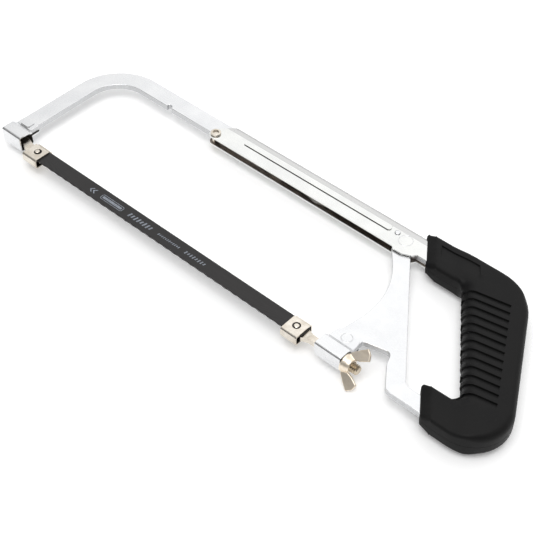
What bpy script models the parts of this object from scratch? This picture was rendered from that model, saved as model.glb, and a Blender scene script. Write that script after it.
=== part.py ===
"""An adjustable-frame hacksaw for 250 mm (10 inch) blades, lying on its side.

The saw's plane is XY and +Z is its near side. +X runs from the front of the frame to the
handle and +Y from the blade to the backbone. Shapes are drawn in the saw's own frame, whose
origin is the centre of the blade's front hole on the mid-plane of the frame; the empty
"saw_frame" carries them to the model's origin, the middle of the bounding box at the bottom.
Every length below is in millimetres, and MM turns it into Blender's metres.
"""

from math import acos, cos, pi, radians, sin, tan

import bpy
import bmesh
from mathutils import Matrix, Vector

MM = 0.001
GAP = 0.3  # clearance between neighbouring pieces
SMALL_GAP = 0.15  # clearance between small trim and what it sits on
ARC_ERROR = 0.05  # how far the straight pieces of an arc may leave it
LONGEST_TURN = radians(20)  # of one straight piece of an arc
ROUND_STEPS = 20  # sides of a turned piece
THROUGH = 20.0  # reach of a cutter that passes right through a piece

# The model's origin in the saw's frame.
ORIGIN = (178.273, 55.234, -11.033)

# Blade.
BLADE_PITCH = 250.0  # between the centres of its two holes
BLADE_WIDTH = 12.5
BLADE_THICK = 0.64
BLADE_Z = 2.0  # the blade's mid-plane
BLADE_END = 7.0  # metal beyond each hole
BLADE_CORNER = 2.5
BLADE_HOLE_R = 2.2
TOOTH_PITCH = 25.4 / 24
TOOTH_DEPTH = 0.7
TOOTH_MARGIN = 9.0  # plain stretch at each end
TOOTH_RAKE = 0.3  # share of a tooth's pitch under its steep face

# Bow: a flat bar bent over at the front.
BAR_WIDTH = 14.9
BAR_HALF = 2.3
BAR_EDGE = 0.6
BAR_TOP = 116.1
BOW_LEG_X = -38.5
BOW_TAIL_X = 193.0
BOW_LEG_END = 10.0
BOW_OUTER_R = 40.0
NOTCH_X = 31.0
NOTCH_STEP = 50.0
NOTCHES = 3
NOTCH_LONG = 5.0
NOTCH_DEEP = 2.6
NOTCH_FLAT = 2.8  # where the notch's roof ends, from its steep side
SPRING_START = 148.0
SPRING_CRANK = (166.0, 181.0)
SPRING_END = 191.5
SPRING_THICK = 0.8
SPRING_DROP = 2.6

# Backbone channel: sheet folded into a U that is open towards the blade.
SHEET = 1.2
CHANNEL_HALF = 3.9
CHANNEL_TOP = 118.4
CHANNEL_WALL_END = 92.0
CHANNEL_FRONT = 77.8
CHANNEL_BACK = 305.0
CHANNEL_BEND = 3.2
CHANNEL_HOLE = (288.0, 109.3)
RIB_START = 105.5
RIB_END = 241.0
RIB_Y = 108.3
RIB_WIDTH = 5.0
RIB_HEIGHT = 0.65
FRONT_RIVET = (82.6, 101.3)
FRONT_RIVET_SHAFT_Y = 99.3
FRONT_RIVET_SHAFT_R = 1.4
FRONT_RIVET_HEAD_R = 4.0
FRONT_RIVET_HEAD = 1.3
FRONT_RIVET_BORE_R = 2.4
FRONT_RIVET_BORE_FLOOR = 0.3  # metal left under the bore
STOP_RIVET = (246.3, 108.3)
STOP_RIVET_R = 1.3
STOP_RIVET_HEAD_R = 2.1

# Rear plate and its foot.
PLATE_EDGE = 0.5
FOOT_END = 362.0
FOOT_LOW = -1.9
FOOT_HIGH = 9.3
FOOT_HOLE = (353.0, 3.7)

# Folded boxes at the lower corners.
FRONT_BLOCK_X = (-37.0, -17.5)
FRONT_BLOCK_HALF = 6.65
REAR_BLOCK_X = (268.5, 289.0)
REAR_BLOCK_HALF = 6.0
BLOCK_SHEET = 1.1
TAB_Z = 2.45  # inner face of the tabs that lie on the bar
# Where a block's sheet turns, in y: its floor, the end of its side, the tab's start and end.
FRONT_BLOCK_FOLDS = (-2.1, 7.8, 11.9, 21.3)
REAR_BLOCK_FOLDS = (-4.8, 5.2, 8.0, 21.0)
REAR_TAB_IN = 1.5  # how far the rear tab's front edge stands back
REAR_TAB_R = 8.8
REAR_BLOCK_BEVEL = 3.4  # of the block's lower front corner
PAD_X = (-34.5, -25.5)
PAD_Y = (12.8, 19.8)
PAD_RISE = 0.5

# Blade holders.
CLIP_SHEET = 1.0
CLIP_TOP_Z = 3.6
CLIP_BOTTOM_Z = -4.2
CLIP_LOW_Y = -8.4
CLIP_HIGH_Y = 7.6
CLIP_BEND = 1.3
CLIP_TOP_EDGE_Y = 5.3
CLIP_WALL_EDGE_Z = 1.7
FRONT_CLIP_HALF = 7.2
REAR_CLIP_HALF = 6.5
PADDLE_HALF = 4.4  # half width of both holders' flat ends
SHANK_TOP_Z = 1.38
SHANK_LOW_Z = -1.9
PIN_R = 1.8
PIN_HEAD_R = 2.65
PIN_TOP_R = 1.9
PIN_TOP_Z = 4.0
PIN_TOP_RIM = 0.35
PIN_WINDOW_R = 2.9  # hole in a clip's near plate, round the pin
FRONT_WINDOW_SHIFT = 0.7  # the front clip's hole, off the pin's centre
PIN_FOOT = 0.8
PIN_FOOT_RIM = 0.3
BLADE_PIN_HALF = 0.42
SHANK_NOSE_X = 6.8
SHANK_ROOT_X = -35.0
SHANK_ROOT_HALF = 2.2
SHANK_ROOT_Y = (0.3, 6.2)

# Tension screw.
THREAD_R = 3.5
THREAD_START = 272.0
THREAD_END = 300.5
THREAD_CHAMFER = 0.8
SQUARE_HALF = 2.25
PADDLE_START = 244.5
PADDLE_END = 257.0
SQUARE_START = 262.0
NUT_FACE_X = 289.3
NUT_BORE_R = 3.75
NUT_LONG = 6.0
NUT_FOOT_R = 6.3
NUT_CROWN_R = 4.8
WING_HALF = 1.0
WING_TILT = 45.0  # degrees from +Y towards +Z

# Handle: two shells that meet on the mid-plane.
ACROSS = (0.819, 0.574)  # direction across the slanting grip
GRIP_HALF = 9.6
LEG_HALF = 7.8
LEG_NOSE_HALF = 4.3
HANDLE_EDGE = 4.0
HANDLE_WALL = 3.0
PARTING = 0.1  # half the gap between the two shells
SCREW_R = 1.5
SCREW_HEAD_R = 2.8
SCREW_HEAD_DEEP = 1.9
SCREW_SUNK = 0.6
SCREW_POINT = 1.2
LEG_SCREW_TIP = 5.8
GRIP_SCREW_TIP = 6.5
POST_R = 3.6
RECESS_ARM = 1.6
RECESS_HALF = 0.35
RECESS_DEEP = 1.1
HANDLE_SCREWS = {
    "handle_screw_upper_leg": (CHANNEL_HOLE, LEG_HALF),
    "handle_screw_lower_leg": (FOOT_HOLE, LEG_HALF),
    "handle_screw_grip_top": ((334.0, 102.0), GRIP_HALF),
    "handle_screw_grip_end": ((379.0, 12.0), GRIP_HALF),
}

# Outlines as (x, y, corner radius), anticlockwise.
PLATE_CORNERS = [
    (251.0, 115.9, 1.0),
    (251.0, 95.6, 0.0),
    (279.8, 61.7, 64.0),
    (270.4, 10.0, 0.0),
    (270.4, 7.0, 1.0),
    (288.3, 7.0, 1.0),
    (288.6, 18.7, 1.5),
    (307.2, 23.4, 4.0),
    (310.3, 14.6, 8.0),
    (321.9, FOOT_LOW, 5.0),
    (FOOT_END, FOOT_LOW, 2.0),
    (FOOT_END, FOOT_HIGH, 2.0),
    (329.2, FOOT_HIGH, 6.0),
    (263.0, 101.2, 2.0),
    (301.0, 101.2, 2.0),
    (301.0, 115.9, 2.0),
]
CHANNEL_CORNERS = [
    (CHANNEL_FRONT, 96.5, 4.8),
    (250.6, 96.5, 1.5),
    (252.6, 94.3, 1.5),
    (259.5, 94.3, 4.0),
    (266.6, 97.3, 1.0),
    (268.4, 100.2, 1.0),
    (CHANNEL_BACK, 100.2, 0.0),
    (CHANNEL_BACK, CHANNEL_TOP + 1.0, 0.0),
    (93.0, CHANNEL_TOP + 1.0, 0.0),
    (CHANNEL_FRONT, 104.2, 4.8),
]
HANDLE_CORNERS = [
    (261.3, 121.5, 1.8),
    (278.9, 96.2, 2.0),
    (308.0, 96.2, 7.0),
    (363.9, 16.5, 4.0),
    (335.6, 15.9, 2.0),
    (350.6, -5.5, 2.5),
    (412.4, -5.5, 26.0),
    (344.6, 121.5, 36.5),
]
WING_CORNERS = [
    (290.3, 5.0, 0.8),
    (295.0, 4.2, 0.5),
    (299.0, 5.6, 4.0),
    (303.9, 8.3, 1.1),
    (302.6, 12.4, 3.0),
    (299.3, 15.2, 1.1),
    (294.9, 11.6, 5.0),
    (290.5, 7.4, 1.2),
]
GRIP_HOLLOW_CORNERS = [
    (312.0, 117.8, 3.0),
    (312.0, 98.6, 2.0),
    (369.5, 15.5, 5.0),
    (358.0, -2.3, 3.0),
    (407.3, -2.3, 23.0),
    (343.2, 118.0, 33.0),
]
# Half of the handle seen along the grip, as (distance across it, height).
HANDLE_HALF_PROFILE = [
    (270.0, LEG_NOSE_HALF),
    (283.6, LEG_NOSE_HALF),
    (290.0, LEG_HALF),
    (304.0, LEG_HALF),
    (310.0, GRIP_HALF),
    (400.0, GRIP_HALF),
]

STEEL = (0.80, 0.81, 0.82)
NICKEL = (0.72, 0.66, 0.58)
BLACK_PAINT = (0.055, 0.05, 0.052)
BLACK_PLASTIC = (0.028, 0.028, 0.03)
DARK_STEEL = (0.2, 0.2, 0.21)

# The turns that lay a piece along another axis.
LYING_Y = Matrix.Rotation(pi / 2, 4, "X")  # drawn in XZ, runs along Y
LYING_X = Matrix.Rotation(pi / 2, 4, "Y")  # turned about Z, lies along X


def clear_scene():
    for scene_object in list(bpy.data.objects):
        bpy.data.objects.remove(scene_object, do_unlink=True)


def new_collection(name, hidden=False):
    collection = bpy.data.collections.new(name)
    collection.hide_render = hidden
    bpy.context.scene.collection.children.link(collection)
    return collection


def material(name, colour, roughness, metallic):
    """A Principled material."""
    made = bpy.data.materials.new(name)
    made.use_nodes = True
    shader = made.node_tree.nodes["Principled BSDF"]
    shader.inputs["Base Color"].default_value = (*colour, 1.0)
    shader.inputs["Roughness"].default_value = roughness
    shader.inputs["Metallic"].default_value = metallic
    return made


def rounded(corners):
    """The points of a closed outline whose (x, y, radius) corners are rounded with arcs."""
    points = []
    count = len(corners)
    for index, (x, y, radius) in enumerate(corners):
        corner = Vector((x, y))
        if radius == 0:
            points.append(corner)
            continue
        before = (Vector(corners[index - 1][:2]) - corner).normalized()
        after = (Vector(corners[(index + 1) % count][:2]) - corner).normalized()
        half_angle = acos(max(-1.0, min(1.0, before.dot(after)))) / 2
        centre = corner + (before + after).normalized() * radius / sin(half_angle)
        spoke = corner + before * radius / tan(half_angle) - centre
        turn = pi - 2 * half_angle
        if before.cross(after) > 0:
            turn = -turn
        step = min(LONGEST_TURN, 2 * acos(1 - min(ARC_ERROR / radius, 1.0)))
        pieces = max(2, round(abs(turn) / step))
        for piece in range(pieces + 1):
            points.append(centre + Matrix.Rotation(turn * piece / pieces, 2) @ spoke)
    return points


def circle(x, y, radius):
    """A round outline as four rounded corners of a square."""
    return [
        (x - radius, y - radius, radius),
        (x + radius, y - radius, radius),
        (x + radius, y + radius, radius),
        (x - radius, y + radius, radius),
    ]


def box_corners(x_low, y_low, x_high, y_high, radius=0.0):
    return [
        (x_low, y_low, radius),
        (x_high, y_low, radius),
        (x_high, y_high, radius),
        (x_low, y_high, radius),
    ]


def weld(mesh):
    """Joins the loose caps of a mesh and turns its faces outwards."""
    work = bmesh.new()
    work.from_mesh(mesh)
    bmesh.ops.remove_doubles(work, verts=work.verts, dist=0.001 * MM)
    bmesh.ops.dissolve_degenerate(work, edges=work.edges, dist=0.0005 * MM)
    bmesh.ops.recalc_face_normals(work, faces=work.faces)
    work.to_mesh(mesh)
    work.free()


def flat_solid(name, outline, low, high, turn=Matrix.Identity(4), edge=0.0, holes=()):
    """A flat outline and its holes made solid between two heights, with edges rounded by edge."""
    curve = bpy.data.curves.new(name, "CURVE")
    curve.dimensions = "2D"
    curve.fill_mode = "BOTH"
    curve.extrude = ((high - low) / 2 - edge) * MM
    curve.bevel_depth = edge * MM
    curve.bevel_resolution = 1
    curve.offset = -edge * MM
    for loop in (outline, *holes):
        spline = curve.splines.new("POLY")
        spline.points.add(len(loop) - 1)
        for spline_point, point in zip(spline.points, loop):
            spline_point.co = (point.x * MM, point.y * MM, 0.0, 1.0)
        spline.use_cyclic_u = True
    drawn = bpy.data.objects.new(name, curve)
    bpy.context.scene.collection.objects.link(drawn)
    drawn.matrix_world = turn @ Matrix.Translation((0.0, 0.0, (low + high) / 2 * MM))
    bpy.context.view_layer.update()
    mesh = bpy.data.meshes.new_from_object(drawn.evaluated_get(bpy.context.evaluated_depsgraph_get()))
    mesh.transform(drawn.matrix_world)
    bpy.data.objects.remove(drawn)
    bpy.data.curves.remove(curve)
    weld(mesh)
    solid = bpy.data.objects.new(name, mesh)
    mesh.name = name
    return solid


def turned(name, profile, place, turn=Matrix.Identity(4)):
    """A turned piece from its (radius, height) profile, listed from the top down."""
    mesh = bpy.data.meshes.new(name)
    vertices = [(radius * MM, 0.0, height * MM) for radius, height in profile]
    edges = [(index, index + 1) for index in range(len(vertices) - 1)]
    mesh.from_pydata(vertices, edges, [])
    solid = bpy.data.objects.new(name, mesh)
    screw = solid.modifiers.new("Turn", "SCREW")
    screw.axis = "Z"
    screw.angle = 2 * pi
    screw.steps = ROUND_STEPS
    screw.render_steps = ROUND_STEPS
    screw.use_merge_vertices = True
    screw.merge_threshold = 0.005 * MM
    screw.use_smooth_shade = True
    bpy.context.scene.collection.objects.link(solid)
    bpy.context.view_layer.update()
    made = bpy.data.meshes.new_from_object(solid.evaluated_get(bpy.context.evaluated_depsgraph_get()))
    bpy.data.objects.remove(solid)
    bpy.data.meshes.remove(mesh)
    place_mm = Matrix.Translation(Vector(place) * MM)
    made.transform(place_mm @ turn)
    made.name = name
    return bpy.data.objects.new(name, made)


def folded_sheet(name, profile, x_low, x_high, thickness):
    """Sheet metal folded along X: an open (y, z, bend radius) profile of its middle, made thick."""
    points = open_profile(profile)
    mesh = bpy.data.meshes.new(name)
    vertices = [(x * MM, y * MM, z * MM) for x in (x_low, x_high) for y, z in points]
    count = len(points)
    faces = [(i, i + 1, count + i + 1, count + i) for i in range(count - 1)]
    mesh.from_pydata(vertices, [], faces)
    sheet = bpy.data.objects.new(name, mesh)
    solidify = sheet.modifiers.new("Thickness", "SOLIDIFY")
    solidify.thickness = thickness * MM
    solidify.offset = 0.0
    solidify.use_even_offset = True
    return sheet


def open_profile(corners):
    """The points of an open outline; only its inner corners are rounded."""
    closed = rounded([(*corners[0][:2], 0.0), *corners[1:-1], (*corners[-1][:2], 0.0)])
    return [(point.x, point.y) for point in closed]


def add_cutter(cutter):
    if cutter.name not in cutters.objects:
        cutters.objects.link(cutter)
    cutter.hide_render = True
    cutter.display_type = "WIRE"
    cutter.parent = saw_frame


def boolean(target, cutter, operation):
    add_cutter(cutter)
    modifier = target.modifiers.new(cutter.name, "BOOLEAN")
    modifier.operation = operation
    modifier.object = cutter
    modifier.solver = "EXACT"


def cut(target, *tools):
    for tool in tools:
        boolean(target, tool, "DIFFERENCE")


def join(target, *tools):
    for tool in tools:
        boolean(target, tool, "UNION")


def keep_common(target, *tools):
    for tool in tools:
        boolean(target, tool, "INTERSECT")


def finish(node, node_material, axis_point=(0.0, 0.0, 0.0)):
    """Puts a piece in the hacksaw with its origin at axis_point, in the saw's frame."""
    offset = Vector(axis_point) * MM
    node.data.transform(Matrix.Translation(-offset))
    node.location = offset
    node.parent = saw_frame
    node.data.materials.clear()
    node.data.materials.append(node_material)
    node.data.shade_smooth()
    node.data.set_sharp_from_angle(angle=radians(30))
    hacksaw.objects.link(node)


def tool_solid(name, corners, low, high, turn=Matrix.Identity(4)):
    return flat_solid(name, rounded(corners), low, high, turn)


def drill(name, x, y, radius, low=-THROUGH, high=THROUGH):
    return tool_solid(name, circle(x, y, radius), low, high)


def rivet_profile(shaft_r, head_r, head_rise, seat, rim=0.3):
    """Half a rivet from its domed head down to the mid-plane, then the same mirrored."""
    upper = [
        (0.0, seat + head_rise),
        (head_r * 0.55, seat + head_rise),
        (head_r - rim, seat + head_rise * 0.75),
        (head_r, seat + head_rise * 0.35),
        (head_r, seat),
        (shaft_r, seat),
    ]
    lower = [(radius, -height) for radius, height in reversed(upper)]
    return upper + lower


def make_blade():
    """The blade: a thin strip with a hole at each end and teeth along its lower edge."""
    half = BLADE_WIDTH / 2
    left = -BLADE_END
    right = BLADE_PITCH + BLADE_END
    ends = [(left, -half, BLADE_CORNER), (right, -half, BLADE_CORNER)]
    tops = [(right, half, BLADE_CORNER), (left, half, BLADE_CORNER)]
    count = int((right - left - 2 * TOOTH_MARGIN) / TOOTH_PITCH)
    teeth = []
    for index in range(count):
        tip = left + TOOTH_MARGIN + index * TOOTH_PITCH
        teeth.append((tip, -half, 0.0))
        teeth.append((tip + TOOTH_RAKE * TOOTH_PITCH, -half + TOOTH_DEPTH, 0.0))
    outline = rounded([ends[0], *teeth, ends[1], *tops])
    low = BLADE_Z - BLADE_THICK / 2
    high = BLADE_Z + BLADE_THICK / 2
    holes = [rounded(circle(x, 0.0, BLADE_HOLE_R)) for x in (0.0, BLADE_PITCH)]
    finish(flat_solid("hacksaw_blade", outline, low, high, holes=holes), blade_paint)


def notch(x_start):
    """A hooked notch in the bow's lower edge: steep at the front, sloping at the back."""
    low = BAR_TOP - BAR_WIDTH
    return [
        (x_start, low, 0.0),
        (x_start + 0.4, low + NOTCH_DEEP, 1.0),
        (x_start + NOTCH_FLAT, low + NOTCH_DEEP, 1.0),
        (x_start + NOTCH_LONG, low, 0.0),
    ]


def make_bow():
    """The bow: flat bar, bent at the front, notched where the channel's rivet catches it."""
    low = BAR_TOP - BAR_WIDTH
    inner_leg_x = BOW_LEG_X + BAR_WIDTH
    corners = [
        (BOW_LEG_X, BOW_LEG_END, 1.5),
        (inner_leg_x, BOW_LEG_END, 1.5),
        (inner_leg_x, low, BOW_OUTER_R - BAR_WIDTH),
    ]
    for index in range(NOTCHES):
        corners += notch(NOTCH_X + index * NOTCH_STEP)
    corners += [
        (BOW_TAIL_X, low, 2.0),
        (BOW_TAIL_X, BAR_TOP, 2.0),
        (BOW_LEG_X, BAR_TOP, BOW_OUTER_R),
    ]
    bow = flat_solid("front_bow", rounded(corners), -BAR_HALF, BAR_HALF, edge=BAR_EDGE)
    finish(bow, plated_steel)


def make_bow_spring():
    """The leaf spring under the bow's tail, cranked down towards its free end."""
    high = BAR_TOP - BAR_WIDTH - SMALL_GAP
    bend, dip = SPRING_CRANK
    middle = [(SPRING_START, high, 0.0), (bend, high, 6.0), (dip, high - SPRING_DROP, 6.0)]
    middle.append((SPRING_END, high - SPRING_DROP / 6, 0.0))
    lower = [(x, y - SPRING_THICK, radius) for x, y, radius in middle]
    spring_corners = lower + middle[::-1]
    spring = flat_solid("bow_leaf_spring", rounded(spring_corners), -BAR_HALF + 0.3, BAR_HALF - 0.3)
    finish(spring, spring_steel)


def channel_profile():
    """The middle line of the channel's sheet, from one wall's edge over the fold to the other's."""
    z = CHANNEL_HALF - SHEET / 2
    top = CHANNEL_TOP - SHEET / 2
    return [
        (CHANNEL_WALL_END, z, 0.0),
        (top, z, CHANNEL_BEND),
        (top, -z, CHANNEL_BEND),
        (CHANNEL_WALL_END, -z, 0.0),
    ]


def make_channel():
    """The backbone channel, trimmed to its side view, with a pressed rib on both walls."""
    channel = folded_sheet("backbone_channel", channel_profile(), CHANNEL_FRONT, CHANNEL_BACK, SHEET)
    rib_low = CHANNEL_HALF - 0.4
    rib_high = CHANNEL_HALF + RIB_HEIGHT
    half = RIB_WIDTH / 2
    rib = box_corners(RIB_START, RIB_Y - half, RIB_END, RIB_Y + half, half - 0.05)
    keep_common(channel, tool_solid("channel_side_view", CHANNEL_CORNERS, -THROUGH, THROUGH))
    join(
        channel,
        flat_solid("near_rib", rounded(rib), rib_low, rib_high),
        flat_solid("far_rib", rounded(rib), -rib_high, -rib_low),
    )
    x, _ = FRONT_RIVET
    cut(
        channel,
        drill("front_rivet_hole", x, FRONT_RIVET_SHAFT_Y, FRONT_RIVET_SHAFT_R + SMALL_GAP),
        drill("stop_rivet_hole", *STOP_RIVET, STOP_RIVET_R + SMALL_GAP),
        drill("channel_screw_hole", *CHANNEL_HOLE, SCREW_R + GAP),
    )
    finish(channel, plated_steel)


def make_channel_rivets():
    """The front rivet, which catches the bow's notches, and the stop behind the bow's tail.

    The front rivet's heads are wide discs on the walls; its shaft runs just below the bow.
    """
    x, head_y = FRONT_RIVET
    seat = CHANNEL_HALF + SMALL_GAP
    reach = seat + 0.4
    front = drill("channel_front_rivet", x, FRONT_RIVET_SHAFT_Y, FRONT_RIVET_SHAFT_R, -reach, reach)
    outer = seat + FRONT_RIVET_HEAD
    for name, low, high in (("near", seat, outer), ("far", -outer, -seat)):
        outline = rounded(circle(x, head_y, FRONT_RIVET_HEAD_R))
        head = flat_solid("front_rivet_head_" + name, outline, low, high, edge=0.4)
        join(front, head)
    bore_floor = seat + FRONT_RIVET_BORE_FLOOR
    cut(front, drill("front_rivet_bore", x, head_y, FRONT_RIVET_BORE_R, bore_floor))
    finish(front, nickel)
    profile = rivet_profile(STOP_RIVET_R, STOP_RIVET_HEAD_R, 0.7, seat)
    stop = turned("channel_stop_rivet", profile, (*STOP_RIVET, 0.0))
    finish(stop, plated_steel)


def make_rear_plate():
    """The flat plate that joins the channel, the tension block and the handle's lower leg."""
    plate = flat_solid("rear_plate", rounded(PLATE_CORNERS), -BAR_HALF, BAR_HALF, edge=PLATE_EDGE)
    cut(
        plate,
        drill("plate_screw_hole", *CHANNEL_HOLE, SCREW_R + GAP),
        drill("foot_screw_hole", *FOOT_HOLE, SCREW_R + GAP),
    )
    finish(plate, plated_steel)


def block_profile(half, folds):
    """The middle line of a block's sheet: tab, joggle, near side, floor, far side and back up."""
    low_y, high_y, crease_y, tab_y = folds
    z = half - BLOCK_SHEET / 2
    tab_z = TAB_Z + BLOCK_SHEET / 2
    low = low_y + BLOCK_SHEET / 2
    near = [(tab_y, tab_z, 0.0), (crease_y, tab_z, 1.2), (high_y, z, 1.2), (low, z, 1.4)]
    far = [(y, -height, bend) for y, height, bend in reversed(near)]
    return near + far


def make_front_block():
    """The folded box at the foot of the bow, with tabs that clasp the bow's leg."""
    x_low, x_high = FRONT_BLOCK_X
    profile = block_profile(FRONT_BLOCK_HALF, FRONT_BLOCK_FOLDS)
    block = folded_sheet("front_block", profile, x_low, x_high, BLOCK_SHEET)
    floor_y, side_end, tab_start, tab_end = FRONT_BLOCK_FOLDS
    tab_x = BOW_LEG_X + BAR_WIDTH + 1.0
    front_view = [
        (x_low, floor_y - 2.0, 0.0),
        (x_high, floor_y - 2.0, 0.0),
        (x_high, side_end + 2.2, 1.0),
        (tab_x, tab_start + 1.1, 1.5),
        (tab_x, tab_end - 0.1, 2.0),
        (x_low, tab_end - 0.1, 2.0),
    ]
    keep_common(block, tool_solid("front_block_view", front_view, -THROUGH, THROUGH))
    pad = box_corners(PAD_X[0], PAD_Y[0], PAD_X[1], PAD_Y[1], 1.4)
    top = TAB_Z + BLOCK_SHEET
    root = top - BLOCK_SHEET / 2
    join(
        block,
        tool_solid("near_tab_pad", pad, root, top + PAD_RISE),
        tool_solid("far_tab_pad", pad, -top - PAD_RISE, -root),
    )
    finish(block, plated_steel)


def make_rear_block():
    """The folded box that carries the tension screw, with round tabs on the rear plate."""
    x_low, x_high = REAR_BLOCK_X
    profile = block_profile(REAR_BLOCK_HALF, REAR_BLOCK_FOLDS)
    block = folded_sheet("rear_block", profile, x_low, x_high, BLOCK_SHEET)
    floor_y, side_end, tab_start, tab_end = REAR_BLOCK_FOLDS
    front_view = [
        (x_low, floor_y - 1.0, 0.0),
        (x_high, floor_y - 1.0, 0.0),
        (x_high, tab_end - 0.2, REAR_TAB_R),
        (x_low + REAR_TAB_IN, tab_end - 0.2, REAR_TAB_R),
        (x_low + REAR_TAB_IN, tab_start + 1.0, 2.0),
        (x_low, side_end + 0.3, 1.0),
    ]
    beyond = REAR_BLOCK_HALF + 1.0
    below_view = [
        (x_low, beyond, 0.0),
        (x_low, REAR_BLOCK_BEVEL - REAR_BLOCK_HALF, 1.0),
        (x_low + REAR_BLOCK_BEVEL, -REAR_BLOCK_HALF, 0.0),
        (x_low + REAR_BLOCK_BEVEL, -beyond, 0.0),
        (x_high, -beyond, 0.0),
        (x_high, beyond, 0.0),
    ]
    keep_common(
        block,
        tool_solid("rear_block_view", front_view, -THROUGH, THROUGH),
        tool_solid("rear_block_from_below", below_view, -2 * THROUGH, 2 * THROUGH, LYING_Y),
    )
    finish(block, plated_steel)


def clip_profile():
    """The middle line of a clip's sheet, a box that is open along its high side near the top."""
    top = CLIP_TOP_Z - CLIP_SHEET / 2
    bottom = CLIP_BOTTOM_Z + CLIP_SHEET / 2
    low_y = CLIP_LOW_Y + CLIP_SHEET / 2
    high_y = CLIP_HIGH_Y - CLIP_SHEET / 2
    return [
        (CLIP_TOP_EDGE_Y, top, 0.0),
        (low_y, top, CLIP_BEND),
        (low_y, bottom, CLIP_BEND),
        (high_y, bottom, CLIP_BEND),
        (high_y, CLIP_WALL_EDGE_Z, 0.0),
    ]


def make_clip(name, x_centre, half_length, window_shift=0.0):
    """A folded clip round a holder's end; the pin shows in its near plate's wide hole."""
    clip = folded_sheet(name, clip_profile(), x_centre - half_length, x_centre + half_length, CLIP_SHEET)
    cut(
        clip,
        drill(name + "_hole", x_centre, 0.0, PIN_R + SMALL_GAP, high=0.0),
        drill(name + "_window", x_centre + window_shift, 0.0, PIN_WINDOW_R, low=0.0),
    )
    finish(clip, nickel)


def shank(name, top_view, side_view, hole_x):
    """A forged holder: its top view and its side view made solid and kept where they meet."""
    made = flat_solid(name, rounded(top_view), -THROUGH, THROUGH)
    side = tool_solid(name + "_side_view", side_view, -THROUGH, THROUGH, LYING_Y)
    keep_common(made, side)
    cut(made, drill(name + "_hole", hole_x, 0.0, PIN_R + SMALL_GAP))
    return made


def pin_top(seat):
    """The pin's upper end, from its centre down its side to the blade."""
    return [
        (0.0, PIN_TOP_Z),
        (PIN_TOP_R - 2 * PIN_TOP_RIM, PIN_TOP_Z),
        (PIN_TOP_R, PIN_TOP_Z - PIN_TOP_RIM),
        (PIN_TOP_R, seat),
    ]


def pin_foot(seat):
    """The pin's lower head, from its seat down to its centre."""
    return [
        (PIN_HEAD_R, seat),
        (PIN_HEAD_R - PIN_FOOT_RIM, seat - PIN_FOOT),
        (0.0, seat - PIN_FOOT),
    ]


def make_front_holder():
    """The front holder in the bow's block, its clip, and the rivet through both."""
    root_low, root_high = SHANK_ROOT_Y
    top_view = [
        (SHANK_NOSE_X, PADDLE_HALF, 1.0),
        (-7.4, PADDLE_HALF, 2.0),
        (-16.0, root_high, 4.0),
        (SHANK_ROOT_X, root_high, 0.5),
        (SHANK_ROOT_X, root_low, 0.5),
        (-17.0, root_low, 4.0),
        (-8.5, -PADDLE_HALF, 2.0),
        (SHANK_NOSE_X, -PADDLE_HALF, 1.0),
    ]
    side_view = [
        (SHANK_NOSE_X, SHANK_LOW_Z, 0.0),
        (SHANK_NOSE_X, SHANK_TOP_Z, 0.0),
        (-12.5, SHANK_TOP_Z, 0.0),
        (-15.0, SHANK_ROOT_HALF, 0.0),
        (SHANK_ROOT_X, SHANK_ROOT_HALF, 0.0),
        (SHANK_ROOT_X, -SHANK_ROOT_HALF, 0.0),
        (-15.0, -SHANK_ROOT_HALF, 0.0),
        (-12.5, SHANK_LOW_Z, 0.0),
    ]
    finish(shank("front_shank", top_view, side_view, 0.0), nickel)
    make_clip("front_clip", 0.0, FRONT_CLIP_HALF, FRONT_WINDOW_SHIFT)
    low = CLIP_BOTTOM_Z - SMALL_GAP
    rivet = [(0.0, SHANK_TOP_Z), (PIN_R, SHANK_TOP_Z), (PIN_R, low), *pin_foot(low)]
    finish(turned("front_holder_rivet", rivet, (0.0, 0.0, 0.0)), nickel)
    pin_high = BLADE_Z + BLADE_PIN_HALF
    pin_low = BLADE_Z - BLADE_PIN_HALF
    seat = pin_high + SMALL_GAP
    head = [*pin_top(seat), (0.0, seat)]
    finish(turned("front_clip_rivet_head", head, (0.0, 0.0, 0.0)), nickel)
    pin = [(0.0, pin_high), (PIN_R, pin_high), (PIN_R, pin_low), (0.0, pin_low)]
    finish(turned("front_blade_pin", pin, (0.0, 0.0, 0.0)), nickel)


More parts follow.
